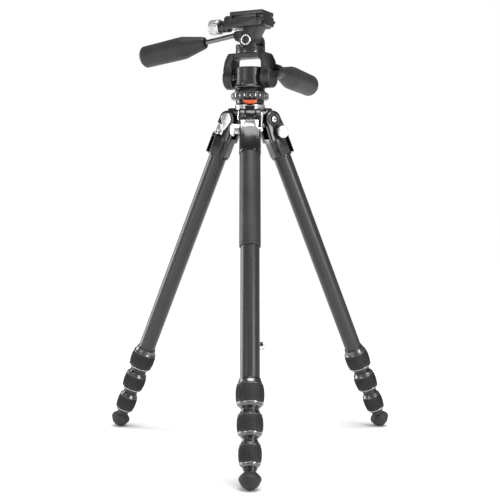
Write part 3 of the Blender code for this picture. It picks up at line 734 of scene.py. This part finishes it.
def bag_hook():
    """Boss at the foot of the column and the wire bail in its two holes."""
    boss = turned([(0, 158.0), (12.0, 158.0), (12.8, 157.4, 0.3), (12.8, 152.6, 0.6), (11.8, 151.5),
                   (0, 151.5)])
    ear = prism([(-11.5, 152.0), (11.5, 152.0), (11.5, 143.8, 3.0), (-11.5, 143.8, 3.0)], -4.5, 4.5, "Y",
                0.6)
    arm = turned([(0, 10.0), (3.4, 10.0), (3.4, 19.4, 0.6), (0, 19.4)], axis="X", centre=(0, HOOK_Z),
                 sides=40)
    holes = [rod(1.5, 16.6, 22.0, "X", (0, HOOK_Z)), rod(1.5, -14.0, -9.0, "X", (0, HOOK_Z))]
    piece("bag_hook_boss_casting", BASE, [(carved(fused(boss, ear, arm), *holes), GLOSS_BLACK)],
          "black_casting", "bag_hook_boss")
    curve = bpy.data.curves.new("bail", "CURVE")
    curve.dimensions = "3D"
    curve.bevel_depth = 1.15
    curve.bevel_resolution = 5
    curve.use_fill_caps = True
    route = eased([(17.2, 0), (21.8, 0, 1.6), (21.8, -6.8, 2.4), (18.8, -8.0, 2.0), (-12.6, -8.0, 3.0),
                   (-14.4, -4.8, 2.0), (-14.4, 0, 1.4), (-10.0, 0)], False, 8)
    line = curve.splines.new("POLY")
    line.points.add(len(route) - 1)
    for point, (x, z) in zip(line.points, route):
        point.co = (x, 0, HOOK_Z + z, 1)
    holder = in_scene("bail", curve)
    wire = bpy.data.meshes.new_from_object(holder.evaluated_get(bpy.context.evaluated_depsgraph_get()))
    bpy.data.objects.remove(holder, do_unlink=True)
    piece("bag_hook_bail_wire", BASE, [(wire, CHROME)], "polished_silver", "bag_hook_bail")


def lock_knob(node, place):
    """Fluted knob on a stem, pointing to the back of its frame."""
    low, high = extent(node, place)
    radius = (high.x - low.x) / 2
    centre = ((high.x + low.x) / 2, (high.z + low.z) / 2)
    face = high.y - 12.0
    flutes = moved(copies(rod(1.2, face + 1.6, high.y + 2.0, "Z", (radius + 0.45, 0), 0.0, 16), 18,
                          GRAIN_BLACK), Matrix.Translation((centre[0], 0,
                                                            centre[1])) @ Matrix.Rotation(-math.pi / 2, 4,
                                                                                          "X"))
    knob = turned([(0, face), (radius - 1.6, face, 0.4), (radius, face + 1.0, 0.5),
                   (radius, high.y - 1.4, 1.0), (radius - 1.8, high.y, 0.8),
                   (radius - 3.0, high.y - 0.5, 0.4), (0, high.y - 0.5)], axis="Y", centre=centre)
    stem = turned([(0, low.y), (3.0, low.y), (3.0, face + 0.5), (0, face + 0.5)], axis="Y", centre=centre,
                  sides=40)
    piece(f"{node}_fluted", place, [(carved(knob, flutes), GRAIN_BLACK), (stem, CHROME)], "black_casting",
          node)


# ---------------------------------------------------------------- head

def pan_barrel():
    """Satin barrel that flares at its foot, with tool grooves, a shaft bore and a white index dot."""
    low, high = extent("pan_barrel", HEAD)
    top, foot_z, wide = high.z, low.z, high.x
    section = [(0, top), (18.9, top), (19.4, top - 0.2, 0.2), (20.2, top - 1.1, 0.3)]
    for k in range(3):
        z = top - 2.4 - 1.6 * k
        section += [(20.25, z), (20.12, z - 0.15), (20.12, z - 0.35), (20.3, z - 0.5)]
    section += [(20.7, foot_z + 10.0, 6.0), (21.6, foot_z + 4.2, 5.0), (wide, foot_z + 1.4, 0.5),
                (wide - 0.2, foot_z, 0.3), (0, foot_z)]
    barrel = carved(turned(section, sides=128), rod(6.3, -30.0, 30.0, "X", (0, TILT_Z)),
                    rod(3.3, 13.0, 30.0, "Y", (0, foot_z + 7.0)))
    dot = turned([(0, 20.4), (0.85, 20.4), (0.85, 21.5, 0.1), (0, 21.55)], axis="X",
                 centre=(0, foot_z + 4.6), sides=24)
    dot.transform(Matrix.Rotation(math.radians(-93), 4, "Z"))
    piece("pan_barrel_satin", HEAD, [(barrel, ANODISED), (dot, WHITE_PAINT)], "anodised_black", "pan_barrel")


def fork():
    """Yoke over the barrel: channel-sided arms, grooved hubs, crossbar, pedestal and rear housing."""
    roof, under = 571.0, 564.4
    inner = [(23.5, TILT_Z), (23.5, under, 3.6)]
    outer = [(28.5, roof, 2.0), (31.0, 568.0, 3.0), (35.0, 560.0, 12.0), (37.4, 549.0, 12.0), (37.5, TILT_Z)]
    outline = [(-p[0], *p[1:]) for p in inner] + [(p[0], *p[1:]) for p in reversed(inner)]
    outline += list(reversed(outer)) + [(-p[0], *p[1:]) for p in outer]
    frame_mesh = prism(outline, -12.9, 12.9, "Y", 0.5)
    channel = [prism([(31.6, 545.0, 2.0), (45.0, 545.0), (45.0, 575.0), (27.5, 575.0), (27.5, 566.5, 3.0),
                      (31.0, 557.0, 6.0)], -10.3, 10.3, "Y", 0.4)]
    channel.append(moved(channel[0].copy(), Matrix.Rotation(math.pi, 4, "Z")))
    ring = [(0, 23.2), (15.8, 23.2, 0.5), (15.8, 27.4), (15.3, 27.8), (15.3, 28.6), (15.8, 29.0),
            (15.8, 36.4, 0.8), (14.4, 37.8, 0.5), (13.2, 37.8, 0.2), (12.9, 37.2), (12.1, 37.2),
            (11.8, 37.8, 0.2), (0, 37.8)]
    hubs = [turned(ring, axis="X", centre=(0, TILT_Z), sides=96)]
    hubs.append(turned([(r, -x, *rest) for r, x, *rest in ring], axis="X", centre=(0, TILT_Z), sides=96))
    pedestal = turned([(0, roof - 1.0), (20.0, roof - 1.0), (20.0, roof + 1.0), (20.75, roof + 1.3, 0.3),
                       (20.75, roof + 5.0, 0.4), (20.1, roof + 5.4), (20.1, roof + 6.2),
                       (20.75, roof + 6.6, 0.3), (20.4, SIDE_Z - 4.6, 3.0), (17.6, SIDE_Z - 1.4, 1.0),
                       (0, SIDE_Z - 1.4)], sides=96)
    arch = arc(12.0, 0, 180, 28, (0, SIDE_Z)) + [(-12.6, roof - 0.6), (12.6, roof - 0.6)]
    housing = prism(arch, 13.4, 25.6, "Y", 0.9)
    cap = turned([(0, 20.0), (10.6, 20.0), (10.6, 26.6, 0.6), (0, 26.6)], axis="Y", centre=(0, SIDE_Z))
    offset = HEAD.inverted() @ position("right_handle_twist") / MM
    socket = turned([(0, 6.0), (10.6, 6.0), (10.6, 19.9, 0.8), (0, 19.9)], axis="Y",
                    centre=(offset.x + 0.5, offset.z - 1.2))
    body = fused(frame_mesh, *hubs, pedestal, housing, cap, socket)
    bore = moved(rod(4.0, 8.0, 30.0, "Z"), into_head(RIGHT_HANDLE))
    body = carved(body, *channel, rod(12.3, -24.0, 13.0, "Y", (0, SIDE_Z), sides=72),
                  rod(8.3, 10.0, 25.2, "Y", (0, SIDE_Z)),
                  block((-26.0, -24.0, SIDE_Z - 6.0), (0.0, 13.2, SIDE_Z + 2.0)),
                  block((-26.0, -10.0, SIDE_Z - 12.0), (0.0, 10.0, SIDE_Z + 2.0)),
                  block((0.0, -13.0, SIDE_Z - 9.0), (26.0, 13.0, SIDE_Z + 2.0)),
                  rod(6.3, -36.2, 36.2, "X", (0, TILT_Z)), bore)
    shells = [(softened(body, 0.3), GRAIN_BLACK)]
    for sign in (-1, 1):
        face = [(23.9 * sign, TILT_Z + 13.6, 0.8), (23.9 * sign, under - 6.6, 7.0),
                (19.5 * sign, under - 0.4, 3.0), (20.4 * sign, roof - 0.5, 2.5),
                (27.2 * sign, roof - 0.5, 2.0), (29.7 * sign, 567.0, 3.0), (32.6 * sign, 559.8, 12.0),
                (34.2 * sign, 552.0, 6.0), (34.2 * sign, TILT_Z + 13.6, 0.8)]
        shells.append((prism(face, -13.5, -12.6, "Y", 0.35), GRAIN_BLACK))
    band = turned([(19.6, roof + 0.1), (20.45, roof + 0.1, 0.1), (20.45, roof + 1.2, 0.1),
                   (19.6, roof + 1.2)], True, 96)
    shells.append((band, DARK_CHROME))
    piece("tilt_fork_casting", HEAD, shells, "black_casting", "tilt_fork")


def shafts():
    low, high = extent("tilt_shaft", HEAD)
    shaft = turned([(0, low.x), (5.4, low.x), (6.0, low.x + 0.6), (6.0, high.x - 0.6), (5.4, high.x),
                    (0, high.x)], axis="X", centre=(0, TILT_Z), sides=48)
    piece("tilt_shaft_steel", HEAD, [(shaft, CHROME)], "steel", "tilt_shaft")
    low, high = extent("side_shaft", HEAD)
    front = low.y
    ring = turned([(0, high.y), (8.0, high.y), (8.0, front + 0.8, 0.5), (7.4, front, 0.4), (6.2, front, 0.3),
                   (5.8, front + 0.9), (0, front + 0.9)], axis="Y", centre=(0, SIDE_Z), sides=96)
    disc = turned([(0, front + 1.0), (5.5, front + 1.0), (5.5, front + 0.4, 0.3), (3.4, front + 0.3),
                   (3.1, front + 0.7), (2.2, front + 0.7), (1.9, front + 0.3, 0.2), (0, front + 0.3)],
                  axis="Y", centre=(0, SIDE_Z))
    socket = prism(circle(1.5, (0, SIDE_Z), 6), front - 1.0, front + 0.8, "Y")
    piece("side_shaft_steel", HEAD, [(ring, CHROME), (carved(disc, socket), GRAIN_BLACK)], "steel",
          "side_shaft")


def platform():
    """Top platform: split ring on the side shaft, handle lug, neck and the clamp bed with its fixed jaw."""
    under = 607.5
    jaw = 623.6
    outline = [(-31.6, under + 1.8, 1.2), (-29.8, under, 1.2), (22.0, under, 2.0), (30.5, under + 7.5, 2.0),
               (30.5, BED_Z, 0.6), (-21.5, BED_Z, 0.3), (-18.0, jaw - 0.2, 0.2), (-18.0, jaw, 0.2),
               (-28.6, jaw, 2.0), (-31.6, jaw - 3.0, 1.6)]
    body = prism(outline, -21.0, 21.0, "Y", 0.7)
    neck = prism([(-5.2, under + 1.0), (-5.2, SIDE_Z + 6.0), (0.0, SIDE_Z), (11.4, SIDE_Z),
                  (13.0, SIDE_Z + 6.0, 6.0), (15.5, SIDE_Z + 11.0, 6.0), (21.0, under + 1.0)], -12.4, 12.4,
                 "Y", 0.5)
    lug = prism([(-19.5, SIDE_Z + 0.5, 2.0), (-11.0, SIDE_Z - 3.0, 2.0), (-7.0, SIDE_Z),
                 (-7.0, SIDE_Z + 14.0, 1.0), (-20.0, SIDE_Z + 14.0, 2.0), (-22.6, SIDE_Z + 12.0, 2.0),
                 (-22.6, SIDE_Z + 5.0, 2.0)], -9.0, 9.0, "Y", 0.7)
    ring = turned([(0, -12.4), (9.4, -12.4, 0.2), (9.7, -12.0), (10.3, -12.0), (10.6, -12.4, 0.2),
                   (11.4, -12.0, 0.3), (11.4, 12.4, 0.4), (0, 12.4)], axis="Y", centre=(0, SIDE_Z), sides=96)
    wall = block((-22.0, -21.0, BED_Z - 1.0), (21.0, -19.4, 620.0), 0.3)
    body = fused(body, ring, neck, lug, wall)
    bore = moved(rod(3.9, -12.0, 24.0, "Z"), into_head(LEFT_HANDLE))
    body = carved(body, rod(8.3, -16.0, 16.0, "Y", (0, SIDE_Z)),
                  block((-7.0, -14.0, SIDE_Z + 6.0), (-5.2, 14.0, under)), bore,
                  rod(3.2, -36.0, 36.0, "X", (0, CLAMP_Z), sides=32),
                  block((22.2, -16.3, CLAMP_Z - 4.3), (33.0, 16.3, BED_Z + 1.0)))
    shells = [(softened(body, 0.3), GRAIN_BLACK)]
    for y in (-6.5, 6.5):
        screw = turned([(0, under + 0.6), (2.6, under + 0.6), (2.6, under - 0.5, 0.3), (1.4, under - 0.5),
                        (1.3, under + 0.3), (0, under + 0.3)], centre=(-22.0, y), sides=32)
        shells.append((screw, CHROME))
    # Dark strip along the front wall just under the plate: a painted shadow of the plate, not a part
    painted_shade_strip = block((-17.6, -21.4, BED_Z + 0.2), (20.6, -19.2, BED_Z + 1.9), 0.1)
    panel = prism([(20.0, CLAMP_Z - 4.6, 1.0), (29.2, CLAMP_Z - 4.6, 3.0), (29.2, BED_Z - 1.2, 0.8),
                   (20.0, BED_Z - 1.2, 0.8)], -21.5, -20.6, "Y", 0.3)
    shells += [(painted_shade_strip, SEAM_AND_SHADE_BLACK), (panel, ANODISED)]
    piece("platform_clamp_casting", HEAD, shells, "black_casting", "platform_clamp_body")


def clamp():
    """Moving jaw, and the silver knob on its spindle."""
    low, high = extent("moving_jaw", HEAD)
    outline = [(22.6, low.z, 0.5), (30.3, low.z, 1.2), (30.3, high.z - 2.6, 1.5), (28.4, high.z, 1.2),
               (low.x, high.z, 0.2), (low.x, high.z - 0.4, 0.1), (21.9, BED_Z + 0.3, 0.3),
               (22.6, BED_Z + 0.3)]
    jaw = carved(prism(outline, low.y, high.y, "Y", 0.5), rod(3.2, 20.0, 28.0, "X", (0, CLAMP_Z), sides=32))
    piece("moving_jaw_anodised", HEAD, [(jaw, ANODISED)], "anodised_black", "moving_jaw")

    outer, root = -64.6, -48.0
    grip = turned([(0, outer + 0.6), (5.6, outer + 0.6, 0.4), (6.2, outer, 0.4), (10.0, outer, 1.0),
                   (11.2, outer + 1.2, 0.8), (11.2, root - 3.2, 0.5), (10.4, root - 2.7, 0.3),
                   (10.4, root - 2.1, 0.3), (11.2, root - 1.6, 0.4), (11.0, root, 0.5), (0, root)], axis="X",
                  centre=(0, CLAMP_Z), sides=112)
    flutes = moved(copies(rod(0.9, outer + 1.8, root - 3.6, "Z", (11.6, 0), 0.0, 16), 28, SILVER),
                   Matrix.Translation((0, 0, CLAMP_Z)) @ Matrix.Rotation(math.pi / 2, 4, "Y"))
    flange = turned([(0, root + 0.1), (8.0, root + 0.1), (8.7, root + 1.0, 0.3), (8.7, -40.0, 0.4),
                     (7.9, -39.2), (7.9, -38.2), (8.7, -37.4, 0.4), (8.7, -33.0, 0.6), (8.0, -32.0),
                     (0, -32.0)], axis="X", centre=(0, CLAMP_Z))
    spindle = rod(2.9, -33.0, 27.0, "X", (0, CLAMP_Z), 0.4, 32)
    piece("clamp_knob_silver", HEAD, [(carved(grip, flutes), SILVER), (flange, GLOSS_BLACK),
                                      (spindle, CHROME)], "polished_silver", "clamp_knob")


def plate_and_screw():
    """Plate with its dovetail and ribbed pad, and the camera screw in it."""
    low, high = extent("quick_release_plate", HEAD)
    top, slab, foot_z = high.z, 624.1, low.z
    left, right, half = low.x, high.x, high.y
    outline = [(left, -half, 1.6), (right, -half, 1.6), (right, half, 1.6), (left, half, 1.6)]
    plate = prism(outline, slab, top, "Z", 0.7)
    dovetail = prism([(-20.9, foot_z, 0.2), (20.9, foot_z, 0.2), (17.6, slab), (17.6, slab + 1.2),
                      (-17.6, slab + 1.2), (-17.6, slab)], -17.5, 17.5, "Y", 0.4)
    plate = carved(fused(plate, dovetail), rod(8.2, foot_z - 1.0, foot_z + 7.4), rod(3.3, foot_z, top + 1.0),
                   block((left + 3.0, -half + 3.2, top - 0.7), (right - 3.0, half - 3.2, top + 1.0), 0.0,
                         2.0))
    strip = block((left + 3.5, -half + 3.6, top - 0.9), (left + 4.6, half - 3.6, top - 0.1), 0.3)
    count = round((right - left - 7.0) / 2.05)
    ribs = copies(strip, count, PAD_RUBBER, 0, (2.05, 0, 0))
    pad = carved(block((left + 3.2, -half + 3.4, top - 0.75), (right - 3.2, half - 3.4, top - 0.45), 0.1),
                 rod(3.6, foot_z, top + 1.0))
    ribs = carved(ribs, rod(5.2, top - 2.0, top + 1.0))
    collar = turned([(3.4, top - 0.9), (5.0, top - 0.9), (5.0, top - 0.2, 0.2), (3.4, top - 0.2)], True, 48)
    piece("quick_release_plate_anodised", HEAD, [(plate, ANODISED), (pad, PAD_RUBBER), (ribs, PAD_RUBBER),
                                                 (collar, DARK_CHROME)], "anodised_black",
          "quick_release_plate")
    low, high = extent("camera_screw", HEAD)
    wide = high.x
    head = carved(turned([(0, low.z), (wide - 0.6, low.z), (wide, low.z + 0.5), (wide, low.z + 1.8, 0.3),
                          (0, low.z + 2.3)]), block((-9.0, -0.7, low.z - 1.0), (9.0, 0.7, low.z + 1.0)))
    section = [(0, low.z + 1.6), (2.55, low.z + 1.6)]
    pitch = 1.25
    z = low.z + 2.6
    while z + pitch < high.z - 0.2:
        section += [(2.55, z), (3.0, z + pitch * 0.45), (2.55, z + pitch * 0.9)]
        z += pitch
    section += [(2.5, high.z - 0.2), (2.1, high.z), (0, high.z)]
    piece("camera_screw_steel", HEAD, [(head, CHROME), (turned(section, sides=40), CHROME)], "steel",
          "camera_screw")


def handle(side, place):
    """Rod, and a rubber grip with a tapered start and a rounded end. The right one has a ringed neck."""
    low, high = extent(f"{side}_handle_rod", place)
    rod_mesh = turned([(0, low.z), (high.x - 0.4, low.z), (high.x, low.z + 0.5), (high.x, high.z - 0.4),
                       (high.x - 0.4, high.z), (0, high.z)], sides=64)
    piece(f"{side}_handle_rod_polished", place, [(rod_mesh, DARK_CHROME)], "steel", f"{side}_handle_rod")
    bore = high.x + SLIT
    low, high = extent(f"{side}_handle_grip", place)
    wide, start, end = high.x, low.z, high.z
    cone = start + 36.5
    section = [(bore, start + 12.0), (bore, start + 1.2), (5.6, start + 1.0, 0.3), (6.2, start, 0.3),
               (8.0, start, 0.6), (8.7, start + 1.4, 0.6), (9.4, start + 3.2, 1.0), (wide - 0.2, cone, 16.0),
               (wide, cone + 9.0, 20.0), (wide - 0.5, end - 22.0, 30.0), (wide - 0.5, end - 4.4, 4.6),
               (wide - 4.6, end, 4.2), (0, end)]
    piece(f"{side}_handle_grip_rubber", place, [(turned(section, sides=96, steps=8), GRIP_RUBBER)],
          "handle_rubber", f"{side}_handle_grip")
    if side == "right":
        low, high = extent("right_handle_neck", place)
        neck = [(bore, low.z), (8.0, low.z, 0.3), (high.x, low.z + 0.8, 0.4), (high.x, low.z + 2.2),
                (8.2, low.z + 2.6), (8.2, low.z + 3.4), (high.x, low.z + 3.8), (high.x, high.z, 0.3),
                (bore, high.z)]
        piece("right_handle_neck_casting", place, [(turned(neck, True), GLOSS_BLACK)], "black_casting",
              "right_handle_neck")


# ---------------------------------------------------------------- studio

def softbox(name, at, aim, size, power):
    light = bpy.data.lights.new(name, "AREA")
    light.shape = "RECTANGLE"
    light.size, light.size_y = size
    light.energy = power
    made = in_scene(name, light)
    made.location = at
    made.rotation_euler = (Vector(aim) - Vector(at)).to_track_quat("-Z", "Y").to_euler()


def studio():
    """Pale floor and background, a broad overhead light and three upright softboxes."""
    work = bmesh.new()
    bmesh.ops.create_circle(work, cap_ends=True, segments=96, radius=30.0)
    floor = in_scene("floor", to_mesh(work, "floor"))
    floor.location.z = -0.0002
    pale = Finish("pale_floor", (0.90, 0.90, 0.90), 0.8, gloss=0.2)
    pale.put("Base Color", pale.blend(pale.span(pale.noise(60.0), 0.0, 1.0), (0.89, 0.89, 0.89),
                                      (0.91, 0.91, 0.91)))
    floor.data.materials.append(pale.bump(pale.noise(2.0), 0.02, 0.2))

    world = bpy.data.worlds.new("studio")
    bpy.context.scene.world = world
    world.use_nodes = True
    tree = world.node_tree
    tree.nodes.clear()
    seen, around = tree.nodes.new("ShaderNodeBackground"), tree.nodes.new("ShaderNodeBackground")
    ray, pick = tree.nodes.new("ShaderNodeLightPath"), tree.nodes.new("ShaderNodeMixShader")
    out = tree.nodes.new("ShaderNodeOutputWorld")
    seen.inputs["Color"].default_value = (1.0, 1.0, 1.0, 1.0)
    around.inputs["Color"].default_value = (0.97, 0.985, 1.0, 1.0)
    around.inputs["Strength"].default_value = 0.26
    tree.links.new(ray.outputs["Is Camera Ray"], pick.inputs[0])
    tree.links.new(around.outputs[0], pick.inputs[1])
    tree.links.new(seen.outputs[0], pick.inputs[2])
    tree.links.new(pick.outputs[0], out.inputs["Surface"])

    overhead = bpy.data.lights.new("overhead", "SUN")
    overhead.energy = 3.0
    overhead.angle = math.radians(45)
    made = in_scene("overhead", overhead)
    made.rotation_euler = (math.radians(12), math.radians(6), 0)
    softbox("key", (1.55, -1.35, 0.75), (0, 0, 0.36), (0.42, 1.7), 26.0)
    softbox("fill", (-1.5, -1.5, 0.65), (0, 0, 0.36), (0.7, 1.6), 9.0)
    softbox("rim", (-1.75, 0.75, 0.6), (0, 0, 0.38), (0.8, 1.6), 24.0)


def camera():
    """A portrait lens in front of the tripod, a little above its middle."""
    lens = bpy.data.cameras.new("camera")
    lens.sensor_width = 36.0
    lens.lens = 72.74
    lens.clip_start, lens.clip_end = 0.05, 100.0
    distance = 1.475
    height = 0.3612
    tip = 0.0507
    made = in_scene("camera", lens)
    made.location = (0.0, COLUMN_FOOT.y - distance, height)
    made.rotation_euler = (math.pi / 2 - tip, 0, 0)
    bpy.context.scene.camera = made


def build():
    for side in SIDES:
        leg(side)
    spider()
    collar()
    column()
    bag_hook()
    lock_knob("column_lock_knob", BASE)
    lock_knob("pan_lock_knob", HEAD)
    pan_barrel()
    fork()
    shafts()
    platform()
    clamp()
    plate_and_screw()
    handle("right", RIGHT_HANDLE)
    handle("left", LEFT_HANDLE)
    studio()
    camera()
    bpy.context.scene.view_settings.view_transform = "Standard"


build()
